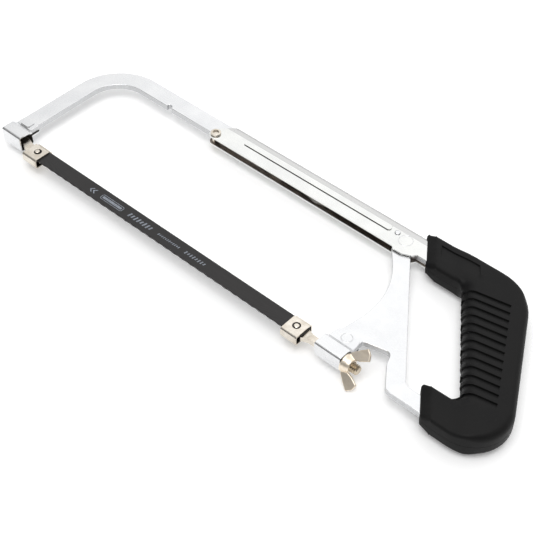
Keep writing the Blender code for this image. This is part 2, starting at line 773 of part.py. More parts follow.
def make_tension_bolt():
    """The tension bolt: flat paddle for the blade, square neck and threaded end."""
    top_view = [
        (PADDLE_START, -PADDLE_HALF, 1.0),
        (PADDLE_END, -PADDLE_HALF, 1.5),
        (SQUARE_START, -SQUARE_HALF, 3.0),
        (THREAD_START, -SQUARE_HALF, 0.0),
        (THREAD_START, SQUARE_HALF, 0.0),
        (SQUARE_START, SQUARE_HALF, 3.0),
        (PADDLE_END, PADDLE_HALF, 1.5),
        (PADDLE_START, PADDLE_HALF, 1.0),
    ]
    side_view = [
        (PADDLE_START, SHANK_LOW_Z, 0.0),
        (PADDLE_END, SHANK_LOW_Z, 0.0),
        (SQUARE_START, -SQUARE_HALF, 0.0),
        (THREAD_START, -SQUARE_HALF, 0.0),
        (THREAD_START, SQUARE_HALF, 0.0),
        (SQUARE_START, SQUARE_HALF, 0.0),
        (PADDLE_END, SHANK_TOP_Z, 0.0),
        (PADDLE_START, SHANK_TOP_Z, 0.0),
    ]
    bolt = shank("tension_bolt", top_view, side_view, BLADE_PITCH)
    start = THREAD_START - 1.0
    length = THREAD_END - start
    thread_profile = [
        (0.0, length),
        (THREAD_R - THREAD_CHAMFER, length),
        (THREAD_R, length - THREAD_CHAMFER),
        (THREAD_R, THREAD_CHAMFER),
        (THREAD_R - THREAD_CHAMFER, 0.0),
        (0.0, 0.0),
    ]
    join(bolt, turned("bolt_thread", thread_profile, (start, 0.0, 0.0), LYING_X))
    finish(bolt, nickel)
    make_clip("rear_clip", BLADE_PITCH, REAR_CLIP_HALF)
    seat = BLADE_Z + BLADE_PIN_HALF
    low = CLIP_BOTTOM_Z - SMALL_GAP
    pin_profile = [*pin_top(seat), (PIN_R, seat), (PIN_R, low), *pin_foot(low)]
    finish(turned("rear_clip_pin", pin_profile, (BLADE_PITCH, 0.0, 0.0)), nickel)


def make_wing_nut():
    """The wing nut: a round hub with a smooth bore and two wings swept back from it."""
    hub_profile = [
        (NUT_BORE_R, NUT_LONG),
        (NUT_CROWN_R - 0.4, NUT_LONG),
        (NUT_CROWN_R, NUT_LONG - 0.6),
        (NUT_FOOT_R, 1.6),
        (NUT_FOOT_R, 0.5),
        (NUT_FOOT_R - 0.4, 0.0),
        (NUT_BORE_R, 0.0),
        (NUT_BORE_R, NUT_LONG),
    ]
    nut = turned("wing_nut", hub_profile, (NUT_FACE_X, 0.0, 0.0), LYING_X)
    for side, angle in (("upper", WING_TILT), ("lower", WING_TILT + 180)):
        turn = Matrix.Rotation(radians(angle), 4, "X")
        wing = flat_solid(side + "_wing", rounded(WING_CORNERS), -WING_HALF, WING_HALF, turn, edge=0.45)
        join(nut, wing)
    finish(nut, nickel, (NUT_FACE_X, 0.0, 0.0))


def across_the_grip():
    """The turn that lays (across, height) drawings along the slant of the grip."""
    across = Vector((*ACROSS, 0.0)).normalized()
    height = Vector((0.0, 0.0, 1.0))
    along = across.cross(height)
    turn = Matrix.Identity(3)
    turn.col[0] = across
    turn.col[1] = height
    turn.col[2] = along
    return turn.to_4x4()


def handle_shell(name, side):
    """One moulded shell: side is +1 for the near shell and -1 for the far one."""
    shell = flat_solid(name, rounded(HANDLE_CORNERS), -GRIP_HALF, GRIP_HALF, edge=HANDLE_EDGE)
    outer = [(across, side * height, 0.0) for across, height in HANDLE_HALF_PROFILE]
    ends = (HANDLE_HALF_PROFILE[-1], HANDLE_HALF_PROFILE[0])
    inner = [(across, side * PARTING, 0.0) for across, _ in ends]
    reach = 15 * THROUGH
    envelope = tool_solid(name + "_envelope", outer + inner, -reach, reach, across_the_grip())
    keep_common(shell, envelope)
    sides = sorted((0.0, side * (GRIP_HALF - HANDLE_WALL)))
    cut(shell, tool_solid(name + "_grip_hollow", GRIP_HOLLOW_CORNERS, *sides))
    slot_z = CHANNEL_HALF + GAP
    slot = box_corners(250.0, 100.2 - GAP, CHANNEL_BACK + 1.0, CHANNEL_TOP + GAP)
    sides = sorted((-side, side * slot_z))
    cut(shell, tool_solid(name + "_channel_slot", slot, *sides))
    foot = box_corners(325.0, FOOT_LOW - GAP, FOOT_END + GAP, FOOT_HIGH + GAP)
    sides = sorted((-side, side * (BAR_HALF + GAP)))
    cut(shell, tool_solid(name + "_foot_slot", foot, *sides))
    for screw_name, ((x, y), half) in HANDLE_SCREWS.items():
        if half == GRIP_HALF:
            sides = sorted((side * PARTING, side * (GRIP_HALF - 1.0)))
            join(shell, drill(name + "_post_" + screw_name, x, y, POST_R, *sides))
    return shell


def make_handle():
    """The two handle shells and the screws that draw them together from the far side."""
    near = handle_shell("handle_near_shell", 1)
    far = handle_shell("handle_far_shell", -1)
    for screw_name, ((x, y), half) in HANDLE_SCREWS.items():
        tip = LEG_SCREW_TIP if half == LEG_HALF else GRIP_SCREW_TIP
        cut(near, drill(screw_name + "_blind_hole", x, y, SCREW_R + SMALL_GAP, high=tip + GAP))
        cut(far, drill(screw_name + "_far_hole", x, y, SCREW_R + SMALL_GAP))
        head_z = SCREW_SUNK - half
        seat = head_z + SCREW_HEAD_DEEP + SMALL_GAP
        cut(far, drill(screw_name + "_head_well", x, y, SCREW_HEAD_R + GAP, high=seat))
        make_handle_screw(screw_name, x, y, head_z, tip)
    finish(near, black_plastic)
    finish(far, black_plastic)


def make_handle_screw(name, x, y, head_z, tip_z):
    """A pan-head screw with a cross recess, its head on the far side."""
    rim = SCREW_SUNK
    profile = [
        (0.0, tip_z),
        (SCREW_R - 0.6, tip_z),
        (SCREW_R, tip_z - SCREW_POINT),
        (SCREW_R, head_z + SCREW_HEAD_DEEP),
        (SCREW_HEAD_R, head_z + SCREW_HEAD_DEEP),
        (SCREW_HEAD_R, head_z + rim),
        (SCREW_HEAD_R - rim, head_z),
        (0.0, head_z),
    ]
    screw = turned(name, profile, (x, y, 0.0))
    arm = RECESS_ARM
    half = RECESS_HALF
    quarter = [(-arm, -half), (-half, -half), (-half, -arm)]
    recess = []
    for _ in range(4):
        recess += [(x + dx, y + dy, 0.0) for dx, dy in quarter]
        quarter = [(-dy, dx) for dx, dy in quarter]
    cut(screw, tool_solid(name + "_recess", recess, head_z - 1.0, head_z + RECESS_DEEP))
    finish(screw, spring_steel)


clear_scene()
hacksaw = new_collection("hacksaw")
cutters = new_collection("cutters", hidden=True)
saw_frame = bpy.data.objects.new("saw_frame", None)
saw_frame.location = -Vector(ORIGIN) * MM
hacksaw.objects.link(saw_frame)

plated_steel = material("plated_steel", STEEL, 0.25, 1.0)
nickel = material("nickel", NICKEL, 0.28, 1.0)
spring_steel = material("spring_steel", DARK_STEEL, 0.35, 1.0)
blade_paint = material("blade_paint", BLACK_PAINT, 0.45, 0.0)
black_plastic = material("black_plastic", BLACK_PLASTIC, 0.5, 0.0)

make_blade()
make_bow()
make_bow_spring()
make_channel()
make_channel_rivets()
make_rear_plate()
make_front_block()
make_rear_block()
make_front_holder()
make_tension_bolt()
make_wing_nut()
make_handle()
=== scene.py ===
"""The looks of the hacksaw: its visible surfaces, materials, floor, light and camera.

The saw lies on its far side. Shapes are drawn in the saw's own frame, in millimetres: X runs
along the blade from its front hole to the handle, Y from the blade to the backbone, and Z out
of the saw's plane; z = 0 is the middle of the frame. SAW is that frame's origin in the model.
"""

from math import acos, cos, pi, radians, sin, tan

import bmesh
import bpy
import numpy as np
from mathutils import Matrix, Vector
from mathutils.geometry import delaunay_2d_cdt


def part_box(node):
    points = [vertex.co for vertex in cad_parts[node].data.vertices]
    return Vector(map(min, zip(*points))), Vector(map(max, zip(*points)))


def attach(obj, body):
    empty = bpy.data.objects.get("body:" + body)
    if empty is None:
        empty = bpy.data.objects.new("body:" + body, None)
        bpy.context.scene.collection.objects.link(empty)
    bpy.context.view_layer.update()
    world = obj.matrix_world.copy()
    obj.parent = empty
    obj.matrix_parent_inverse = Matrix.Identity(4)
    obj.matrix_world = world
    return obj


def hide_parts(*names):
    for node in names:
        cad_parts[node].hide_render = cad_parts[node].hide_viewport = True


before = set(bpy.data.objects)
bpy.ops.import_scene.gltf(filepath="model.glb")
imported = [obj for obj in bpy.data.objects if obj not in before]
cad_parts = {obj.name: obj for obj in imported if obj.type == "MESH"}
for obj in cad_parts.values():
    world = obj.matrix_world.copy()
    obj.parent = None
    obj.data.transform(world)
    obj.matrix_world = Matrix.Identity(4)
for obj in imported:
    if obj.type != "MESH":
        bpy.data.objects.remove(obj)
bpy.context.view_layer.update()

MM = 0.001
BLADE_Z = 2.0  # the blade's middle plane
PIN_LOW, PIN_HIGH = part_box("front_blade_pin")
SAW = (PIN_LOW + PIN_HIGH) / 2 - Vector((0.0, 0.0, BLADE_Z * MM))

# Camera, in the saw's frame.
CAMERA_AT = (564.117, -375.708, 565.583)
CAMERA_TOWARDS = (-0.46496, 0.51438, -0.72057)
CAMERA_LENS = 80.0

# Studio: the direction of the sky's brightest part, then the floor and the key light in metres.
SKY_TOWARDS = (-0.2, 0.6, 0.77)
SKY_STRENGTH = 1.3
# The sky's brightness by how nearly a direction points at its brightest part, 0 to 1.
SKY = ((0.0, 0.22), (0.6, 0.22), (0.86, 0.6), (0.935, 1.05), (0.965, 1.25), (1.0, 1.29))
FLOOR_HALF = 3.0
FLOOR_GLOW = 0.2  # a faint glow of its own, which keeps the shadows pale
KEY_AT = (0.25, -0.65, 2.4)
KEY_SIZE = 1.8
KEY_WATTS = 34.0

# Faces of the CAD shapes: what counts as flat, as an arris, as upright and as facing inwards.
FLAT_ANGLE = radians(0.6)
ARRIS_ANGLE = radians(34)
UPRIGHT_NORMAL_Z = 0.3
INWARDS = 0.2 * MM

# Handle. Its outline's corners are x, y and radius; ACROSS points square across the grip.
ACROSS = Vector((0.819, 0.574)).normalized()
PARTING = 0.1
PARTING_CHAMFER = 0.22
HANDLE_CORNERS = [
    (261.3, 121.5, 1.8),
    (278.9, 96.2, 2.0),
    (308.0, 96.2, 7.0),
    (363.9, 16.5, 4.0),
    (335.6, 15.9, 2.0),
    (350.6, -5.5, 2.5),
    (412.4, -5.5, 26.0),
    (344.6, 121.5, 36.5),
]
GRIP_SIDE = 307.5  # distance across the handle of the grip's inner side
# Half the handle's thickness at distances across it.
THICKNESS_ACROSS = (283.6, 290.0, 302.0, 306.0, 311.0, 316.0)
THICKNESS = (4.3, 7.8, 7.85, 8.4, 9.25, 9.55)
FACET_AT = 290.0
FACET_NEAR = (Vector((273.0, 118.0)), Vector((345.0, 10.0)))
FACET_HALF = 40.0
# How far the face rounds over on its way to each part of the outline.
CREST_ROUND = 9.2
NOSE_ROUND = 1.3
BACK_ROUND = 5.5
TOP_ROUND = 3.4
FOOT_TOP_ROUND = 2.6
UNDERSIDE_ROUND = 2.7
TOP_FROM_Y = 100.0
ROUND_SMOOTHING = 11  # outline points over which one rounding changes into the next
OUTLINE_STEP = 1.3
OUTLINE_TURN = radians(7)
RINGS = 8
GRID_STEP = 3.2
RELIEF_STEP = 2.4

# Stepped ribs of the grip.
RIB_COUNT = 13
RIB_START = (311.55, 93.2)
RIB_NEXT = (318.5, 88.3)
RIB_LAST = (363.1, 25.5)
RIB_ENDS = ((342.5, 100.6), (380.9, 29.1))
RIB_ANGLE = radians(11.5)
RIB_DEPTH = 1.15
RIB_RAMP = 4.4
RIB_START_REACH = 14.0
STEP_HALF = 0.16

# Sunk panel on the upper leg.
PANEL_TOP = 115.2
PANEL_LOW = 103.6
PANEL_X = (277.6, 308.2)
PANEL_DEPTH = 0.9

# Slots in the handle for the channel and for the plate's foot, and wells for the screws.
CHANNEL_SLOT_FROM = (240.0, 99.9, -4.2)
CHANNEL_SLOT_Z = 4.2
FOOT_SLOT_FROM = (320.0, -2.2, -2.6)
FOOT_SLOT_TOP = (9.6, 2.6)
FOOT_END_X = 362.0
FIT_GAP = 0.3
WELL_FROM_Z = -12.0
WELL_DEPTH = 2.0

# Blade.
BLADE_PITCH = 250.0
BLADE_HALF_WIDTH = 6.25
BLADE_THICK = 0.64
BLADE_END = 7.0
BLADE_CORNER = 2.5
BLADE_HOLE_R = 2.2
TOOTH_PITCH = 25.4 / 24
TOOTH_DEPTH = 0.7
TOOTH_SET = 0.3
SET_WAVE = 7.8
SET_ROOT = 1.8
TOOTH_MARGIN = 9.0

# Marks printed on the blade. Bars are given by their two ends, half width and corner radius,
# rows of plain strokes by their start, count, step, width and height.
CHEVRONS_X = (57.2, 60.2)
CHEVRON = ((0.0, 0.0), (2.2, 2.1), (3.2, 2.1), (1.3, 0.0), (3.2, -2.1), (2.2, -2.1))
BORDER = (69.0, 90.6, 2.3, 1.6)
BORDER_INSIDE = (69.45, 90.15, 1.85, 1.2)
BORDERED_BAR = (70.4, 89.2, 1.0, 0.9)
MARK_ROWS = (
    (96.6, 8, 2.9, 1.3, 3.8),
    (125.4, 12, 1.75, 0.8, 1.7),
    (151.2, 8, 2.4, 1.0, 2.6),
)
STROKE_LEAN = 0.25
SHORT_STROKE = 0.75
MARK_SUNK = 0.01
MARK_PROUD = 0.02

# Tension screw's thread.
THREAD_R = 3.5
THREAD_ROOT = 2.6
THREAD_PITCH = 1.4
THREAD_X = (271.6, 300.5)
THREAD_RUN_IN = 1.5
THREAD_RUN_IN_SHARE = 0.3
THREAD_CHAMFER = 0.9
THREAD_SIDES = 48
THREAD_ROWS_PER_TURN = 12

# Wing nut. The hub's profile is radius and distance along it, a wing's corners are x, y, radius.
NUT_FACE_X = 289.3
NUT_LONG = 6.0
NUT_BORE_R = 3.6
NUT_SIDES = 64
NUT_VOXEL = 0.19
HUB_PROFILE = (
    (3.0, 0.0),
    (6.0, 0.0),
    (6.3, 0.4),
    (6.3, 1.3),
    (5.3, 3.6),
    (4.8, NUT_LONG - 0.4),
    (4.4, NUT_LONG),
    (3.0, NUT_LONG),
)
WING_CORNERS = (
    (290.4, 4.6, 0.8),
    (294.8, 4.2, 0.5),
    (299.0, 5.6, 4.0),
    (303.9, 8.4, 0.8),
    (302.6, 12.4, 3.0),
    (299.3, 15.1, 0.9),
    (294.9, 11.5, 5.0),
    (290.6, 7.4, 1.2),
)
WING_HALF_THICK = 1.0
WING_EDGE = 0.55
WING_TIP_SHARE = 0.92
WING_ROOT_EXTRA = 0.45
WING_ROOT_Y = 4.6
WING_ROOT_FADE = 7.0
WING_TILT = radians(45.0)

# Channel: the slit along its middle, the crease of the fold, and a strip of painted shade beyond it.
SLIT_X = (107.0, 240.2)
SLIT_Y = 105.75
SLIT_HALF = 0.24
SLIT_Z = 2.0
CREASE_Y = 110.95
CREASE_HALF = 0.12
CREASE_Z = 3.55
ABOVE_CHANNEL_Z = 6.0
SHADED_BAND_FADE = 0.6
CHANNEL_AXIS_Y = 108.0

# Lines that the folded blocks' inner faces look at; faces that look at them get painted shade.
REAR_BLOCK_AXIS_Y = 0.2
FRONT_BLOCK_AXIS_Y = 3.0

# Spot welds: name, place, radius of the ring and of its bead.
WELDS = (
    ("block_weld_ring", (280.0, 13.4, 3.55), 3.7, 0.3),
    ("channel_weld_ring", (255.0, 106.0, 3.9), 5.0, 0.22),
)
WELD_STEPS = 40
BEAD_SIDES = 8
BEAD_FLATTENING = 0.4


def at(x, y, z):
    """A point of the saw's frame, in the model's metres."""
    return SAW + Vector((x, y, z)) * MM


# ---- materials -------------------------------------------------------------------------------


class Nodes:
    """A material's node tree, with short calls to add and join nodes."""

    def __init__(self, name):
        self.material = bpy.data.materials.new(name)
        self.material.use_nodes = True
        self.tree = self.material.node_tree
        self.shader = self.tree.nodes["Principled BSDF"]
        self.place = self.tree.nodes.new("ShaderNodeTexCoord").outputs["Object"]

    def add(self, kind, **settings):
        """A new node with some of its settings."""
        node = self.tree.nodes.new("ShaderNode" + kind)
        for key, value in settings.items():
            setattr(node, key, value)
        return node

    def link(self, output, socket):
        self.tree.links.new(output, socket)

    def set(self, **values):
        """Constant values on the shader's own sockets."""
        for key, value in values.items():
            self.shader.inputs[key.replace("_", " ")].default_value = value

    def stretched(self, scale, turn=(0.0, 0.0, 0.0)):
        """Places in the model, scaled and turned, for a grain that runs one way."""
        mapping = self.add("Mapping")
        mapping.inputs["Scale"].default_value = scale
        mapping.inputs["Rotation"].default_value = turn
        self.link(self.place, mapping.inputs["Vector"])
        return mapping.outputs["Vector"]

    def noise(self, scale, detail=4.0, roughness=0.55, vector=None):
        """A cloudy value between 0 and 1, mostly 0.3 to 0.7."""
        noise = self.add("TexNoise")
        noise.inputs["Scale"].default_value = scale
        noise.inputs["Detail"].default_value = detail
        noise.inputs["Roughness"].default_value = roughness
        self.link(vector or self.place, noise.inputs["Vector"])
        return noise.outputs["Fac"]

    def ramp(self, value, low, high, from_low=0.3, from_high=0.7):
        """A value carried from one range to another, clamped."""
        node = self.add("MapRange")
        node.inputs["From Min"].default_value = from_low
        node.inputs["From Max"].default_value = from_high
        node.inputs["To Min"].default_value = low
        node.inputs["To Max"].default_value = high
        self.link(value, node.inputs["Value"])
        return node.outputs["Result"]

    def blend(self, value, first, second):
        """A colour between two, chosen by a value."""
        node = self.add("Mix", data_type="RGBA")
        self.link(value, node.inputs["Factor"])
        for socket, colour in ((node.inputs[6], first), (node.inputs[7], second)):
            if hasattr(colour, "links"):
                self.link(colour, socket)
            else:
                socket.default_value = (*colour, 1.0)
        return node.outputs[2]

    def sum(self, first, second):
        """Two values added."""
        node = self.add("Math", operation="ADD")
        self.link(first, node.inputs[0])
        self.link(second, node.inputs[1])
        return node.outputs["Value"]

    def bump(self, height, strength, distance, after=None):
        """A surface normal bent by a height, on top of another one if given."""
        node = self.add("Bump")
        node.inputs["Strength"].default_value = strength
        node.inputs["Distance"].default_value = distance
        self.link(height, node.inputs["Height"])
        if after is not None:
            self.link(after, node.inputs["Normal"])
        return node.outputs["Normal"]


def plated_steel(name, grain_turn=0.0, warm=1.0, shaded_from=None):
    """Bright zinc-chrome plate over rolled steel: fine grain, faint waves and handling marks.

    Above the given height in the saw's frame, the plate turns a flat darker grey: painted shade of the
    rounded fold.
    """
    nodes = Nodes(name)
    nodes.set(Metallic=1.0)
    grain = nodes.noise(900.0, 3.0, 0.6, nodes.stretched((0.06, 1.0, 1.0), (0.0, 0.0, grain_turn)))
    waves = nodes.noise(28.0, 2.0, 0.4)
    smudges = nodes.noise(55.0, 5.0, 0.6)
    scratches = nodes.noise(2600.0, 2.0, 0.5, nodes.stretched((0.035, 1.0, 1.0), (0.0, 0.0, 0.5)))
    clean_plate = (0.80, 0.805, 0.81 * warm**2)
    smudged_plate = (0.745, 0.752, 0.765 * warm**2)
    tone = nodes.blend(nodes.ramp(smudges, 0.0, 1.0), clean_plate, smudged_plate)
    if shaded_from is not None:
        places = nodes.add("SeparateXYZ")
        nodes.link(nodes.place, places.inputs[0])
        low = at(0.0, shaded_from, 0.0).y
        shaded_band = nodes.ramp(places.outputs["Y"], 0.0, 1.0, low, low + SHADED_BAND_FADE * MM)
        # painted shade: a flat darker grey above the crease, for the rounded fold
        tone = nodes.blend(shaded_band, tone, (0.60, 0.60, 0.595))
    nodes.link(tone, nodes.shader.inputs["Base Color"])
    wear = nodes.sum(nodes.ramp(smudges, 0.2, 0.3), nodes.ramp(grain, -0.02, 0.03))
    nodes.link(wear, nodes.shader.inputs["Roughness"])
    normal = nodes.bump(waves, 0.05, 0.0005)
    normal = nodes.bump(grain, 0.06, 0.0001, normal)
    normal = nodes.bump(nodes.ramp(scratches, 0.0, 1.0, 0.62, 0.75), 0.05, 0.0001, normal)
    nodes.link(normal, nodes.shader.inputs["Normal"])
    return nodes.material


def sheared_steel(name):
    """The greyer, finely scored edge that is left where thick steel was blanked out."""
    nodes = Nodes(name)
    nodes.set(Metallic=1.0)
    scoring = nodes.noise(1500.0, 3.0, 0.6, nodes.stretched((1.0, 1.0, 0.06)))
    tone = nodes.blend(nodes.ramp(scoring, 0.0, 1.0), (0.60, 0.605, 0.61), (0.52, 0.525, 0.535))
    nodes.link(tone, nodes.shader.inputs["Base Color"])
    nodes.link(nodes.ramp(scoring, 0.3, 0.42), nodes.shader.inputs["Roughness"])
    nodes.link(nodes.bump(scoring, 0.1, 0.0001), nodes.shader.inputs["Normal"])
    return nodes.material


def warm_nickel(name, colour, shade, roughness):
    """Barrel-plated nickel: warm, softly pitted, duller in its smudges."""
    nodes = Nodes(name)
    nodes.set(Metallic=1.0)
    clouds = nodes.noise(160.0, 4.0, 0.55)
    pits = nodes.noise(1500.0, 3.0, 0.6)
    tone = nodes.blend(nodes.ramp(clouds, 0.0, 1.0), colour, shade)
    nodes.link(tone, nodes.shader.inputs["Base Color"])
    nodes.link(nodes.ramp(clouds, roughness - 0.06, roughness + 0.1), nodes.shader.inputs["Roughness"])
    normal = nodes.bump(clouds, 0.2, 0.0003)
    normal = nodes.bump(pits, 0.12, 0.00008, normal)
    nodes.link(normal, nodes.shader.inputs["Normal"])
    return nodes.material


def black_paint(name):
    """Thin black paint on the blade, with rolled streaks and rubbed patches."""
    nodes = Nodes(name)
    nodes.set(Specular_IOR_Level=0.35)
    streaks = nodes.noise(700.0, 3.0, 0.6, nodes.stretched((0.05, 1.0, 1.0)))
    patches = nodes.noise(45.0, 4.0, 0.6)
    specks = nodes.noise(2400.0, 2.0, 0.5)
    tone = nodes.blend(nodes.ramp(patches, 0.0, 1.0), (0.013, 0.012, 0.012), (0.022, 0.020, 0.020))
    nodes.link(tone, nodes.shader.inputs["Base Color"])
    rough = nodes.sum(nodes.ramp(patches, 0.36, 0.52), nodes.ramp(streaks, -0.05, 0.06))
    nodes.link(rough, nodes.shader.inputs["Roughness"])
    normal = nodes.bump(streaks, 0.12, 0.0001)
    normal = nodes.bump(specks, 0.1, 0.00005, normal)
    nodes.link(normal, nodes.shader.inputs["Normal"])
    return nodes.material


def moulded_plastic(name):
    """Satin black moulded plastic with a fine spark-eroded grain and faint flow marks."""
    nodes = Nodes(name)
    nodes.set(Specular_IOR_Level=0.14)
    grain = nodes.noise(2600.0, 3.0, 0.65)
    flow = nodes.noise(60.0, 3.0, 0.5)
    dust = nodes.noise(900.0, 4.0, 0.7)
    tone = nodes.blend(nodes.ramp(flow, 0.0, 1.0), (0.006, 0.006, 0.0062), (0.0098, 0.0096, 0.0095))
    dusty = nodes.blend(nodes.ramp(dust, 0.0, 0.5, 0.6, 0.8), tone, (0.032, 0.031, 0.030))
    nodes.link(dusty, nodes.shader.inputs["Base Color"])
    rough = nodes.sum(nodes.ramp(flow, 0.44, 0.56), nodes.ramp(grain, -0.04, 0.05))
    nodes.link(rough, nodes.shader.inputs["Roughness"])
    normal = nodes.bump(flow, 0.15, 0.0004)
    normal = nodes.bump(grain, 0.32, 0.00012, normal)
    nodes.link(normal, nodes.shader.inputs["Normal"])
    return nodes.material


def dark_steel(name):
    """Oiled dark steel of the screws and the leaf spring."""
    nodes = Nodes(name)
    nodes.set(Metallic=1.0)
    clouds = nodes.noise(220.0, 4.0, 0.6)
    tone = nodes.blend(nodes.ramp(clouds, 0.0, 1.0), (0.17, 0.165, 0.16), (0.26, 0.25, 0.24))
    nodes.link(tone, nodes.shader.inputs["Base Color"])
    nodes.link(nodes.ramp(clouds, 0.28, 0.45), nodes.shader.inputs["Roughness"])
    nodes.link(nodes.bump(clouds, 0.2, 0.0002), nodes.shader.inputs["Normal"])
    return nodes.material


def inner_shade_steel(name, dark, light):
    """Painted shade: a darker steel for the inside of folded sheet, where shade falls."""
    nodes = Nodes(name)
    nodes.set(Metallic=1.0)
    film = nodes.noise(130.0, 4.0, 0.6)
    tone = nodes.blend(nodes.ramp(film, 0.0, 1.0), dark, light)
    nodes.link(tone, nodes.shader.inputs["Base Color"])
    nodes.link(nodes.ramp(film, 0.32, 0.5), nodes.shader.inputs["Roughness"])
    nodes.link(nodes.bump(film, 0.25, 0.0002), nodes.shader.inputs["Normal"])
    return nodes.material


def marking_ink(name):
    """Pale printing on the blade, worn thin in places."""
    nodes = Nodes(name)
    worn = nodes.noise(1400.0, 4.0, 0.7)
    tone = nodes.blend(nodes.ramp(worn, 0.0, 1.0, 0.35, 0.6), (0.10, 0.11, 0.13), (0.30, 0.33, 0.38))
    nodes.link(tone, nodes.shader.inputs["Base Color"])
    nodes.set(Roughness=0.6)
    return nodes.material


# ---- mesh helpers ----------------------------------------------------------------------------


def rounded(corners, longest_turn=radians(9)):
    """The points of a closed outline whose (x, y, radius) corners are rounded with arcs."""
    points = []
    count = len(corners)
    for index, (x, y, radius) in enumerate(corners):
        corner = Vector((x, y))
        if radius == 0:
            points.append(corner)
            continue
        before = (Vector(corners[index - 1][:2]) - corner).normalized()
        after = (Vector(corners[(index + 1) % count][:2]) - corner).normalized()
        half_angle = acos(max(-1.0, min(1.0, before.dot(after)))) / 2
        centre = corner + (before + after).normalized() * radius / sin(half_angle)
        spoke = corner + before * radius / tan(half_angle) - centre
        turn = pi - 2 * half_angle
        if before.cross(after) > 0:
            turn = -turn
        pieces = max(2, round(abs(turn) / longest_turn))
        for piece in range(pieces + 1):
            points.append(centre + Matrix.Rotation(turn * piece / pieces, 2) @ spoke)
    return points


def evenly(points, step):
    """A closed outline's points, with others added so that none are further apart than step."""
    spaced = []
    for index, point in enumerate(points):
        following = points[(index + 1) % len(points)]
        pieces = max(1, round((following - point).length / step))
        spaced += [point.lerp(following, piece / pieces) for piece in range(pieces)]
    return spaced


def new_object(name, mesh, material, body, replaced=()):
    """Puts a mesh in the scene as a piece that rides on a body."""
    piece = bpy.data.objects.new(name, mesh)
    mesh.name = name
    mesh.materials.clear()
    mesh.materials.append(material)
    bpy.context.scene.collection.objects.link(piece)
    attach(piece, body)
    if replaced:
        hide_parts(*replaced)
    return piece


def clean(work, distance=0.0005):
    """Joins points that coincide and turns all faces outwards."""
    bmesh.ops.remove_doubles(work, verts=work.verts, dist=distance * MM)
    bmesh.ops.recalc_face_normals(work, faces=work.faces)


def to_mesh(work, name):
    """Finishes a bmesh as a mesh."""
    mesh = bpy.data.meshes.new(name)
    work.to_mesh(mesh)
    work.free()
    return mesh


def modified(mesh, name, *modifiers):
    """A mesh with modifiers applied, each given as (kind, settings)."""
    holder = bpy.data.objects.new(name, mesh)
    bpy.context.scene.collection.objects.link(holder)
    for kind, settings in modifiers:
        modifier = holder.modifiers.new(kind.title(), kind)
        for key, value in settings.items():
            setattr(modifier, key, value)
    bpy.context.view_layer.update()
    made = bpy.data.meshes.new_from_object(holder.evaluated_get(bpy.context.evaluated_depsgraph_get()))
    bpy.data.objects.remove(holder)
    return made


def solid_outline(points, low, high, edge=0.0, holes=()):
    """A flat outline made solid between two heights, edges rounded by edge, still at the origin."""
    curve = bpy.data.curves.new("outline", "CURVE")
    curve.dimensions = "2D"
    curve.fill_mode = "BOTH"
    curve.extrude = (high - low) / 2 - edge
    curve.bevel_depth = edge
    curve.bevel_resolution = 2
    curve.offset = -edge
    for loop in (points, *holes):
        spline = curve.splines.new("POLY")
        spline.points.add(len(loop) - 1)
        for spline_point, point in zip(spline.points, loop):
            spline_point.co = (point[0], point[1], 0.0, 1.0)
        spline.use_cyclic_u = True
    drawn = bpy.data.objects.new("outline", curve)
    bpy.context.scene.collection.objects.link(drawn)
    bpy.context.view_layer.update()
    mesh = bpy.data.meshes.new_from_object(drawn.evaluated_get(bpy.context.evaluated_depsgraph_get()))
    bpy.data.objects.remove(drawn)
    mesh.transform(Matrix.Translation((0.0, 0.0, (low + high) / 2)))
    work = bmesh.new()
    work.from_mesh(mesh)
    clean(work, 1.0)
    work.to_mesh(mesh)
    work.free()
    return mesh


def to_model(mesh):
    """Carries a mesh drawn in the saw's millimetres into the model's metres."""
    mesh.transform(Matrix.Translation(SAW) @ Matrix.Scale(MM, 4))
    return mesh


def box_mesh(low, high):
    """A box between two corners."""
    work = bmesh.new()
    middle = [(a + b) / 2 for a, b in zip(low, high)]
    size = [b - a for a, b in zip(low, high)]
    matrix = Matrix.Translation(middle) @ Matrix.Diagonal((*size, 1.0))
    bmesh.ops.create_cube(work, size=1.0, matrix=matrix)
    return to_mesh(work, "box")


def cylinder_mesh(x, y, radius, low, high, sides=48):
    """An upright cylinder between two heights."""
    work = bmesh.new()
    matrix = Matrix.Translation((x, y, (low + high) / 2))
    bmesh.ops.create_cone(
        work, cap_ends=True, segments=sides, radius1=radius, radius2=radius, depth=high - low, matrix=matrix
    )
    return to_mesh(work, "cylinder")


def x_cylinder(radius, low, high):
    """A cylinder round the tension screw's axis."""
    mesh = cylinder_mesh(0.0, 0.0, radius, low, high, NUT_SIDES)
    mesh.transform(Matrix.Rotation(pi / 2, 4, "Y"))
    return mesh


def subtract(mesh, cutters):
    """A mesh with solid cutters taken out of it."""
    holders = [bpy.data.objects.new("cutter", cutter) for cutter in cutters]
    for holder in holders:
        bpy.context.scene.collection.objects.link(holder)
    settings = [("BOOLEAN", {"operation": "DIFFERENCE", "object": holder}) for holder in holders]
    made = modified(mesh, "cut", *settings)
    for holder in holders:
        bpy.data.objects.remove(holder)
    return made


def node_in_saw(node):
    """A CAD node's lowest and highest corners in the saw's millimetres."""
    low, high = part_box(node)
    return (low - SAW) / MM, (high - SAW) / MM


def skin(work, rings, following_rings):
    """Faces between each ring of vertices and the one that follows it."""
    for ring, following in zip(rings, following_rings):
        for index in range(len(ring)):
            beside = (index + 1) % len(ring)
            work.faces.new((ring[index], ring[beside], following[beside], following[index]))


def facing_inwards(mesh, axis_y, shade_slot):
    """Gives a folded sheet's inner faces, which look at the line y = axis_y, the darker material of painted
    shade.
    """
    axis = at(0.0, axis_y, 0.0)
    for face in mesh.polygons:
        towards = axis - face.center
        if face.normal.y * towards.y + face.normal.z * towards.z > INWARDS:
            face.material_index = shade_slot


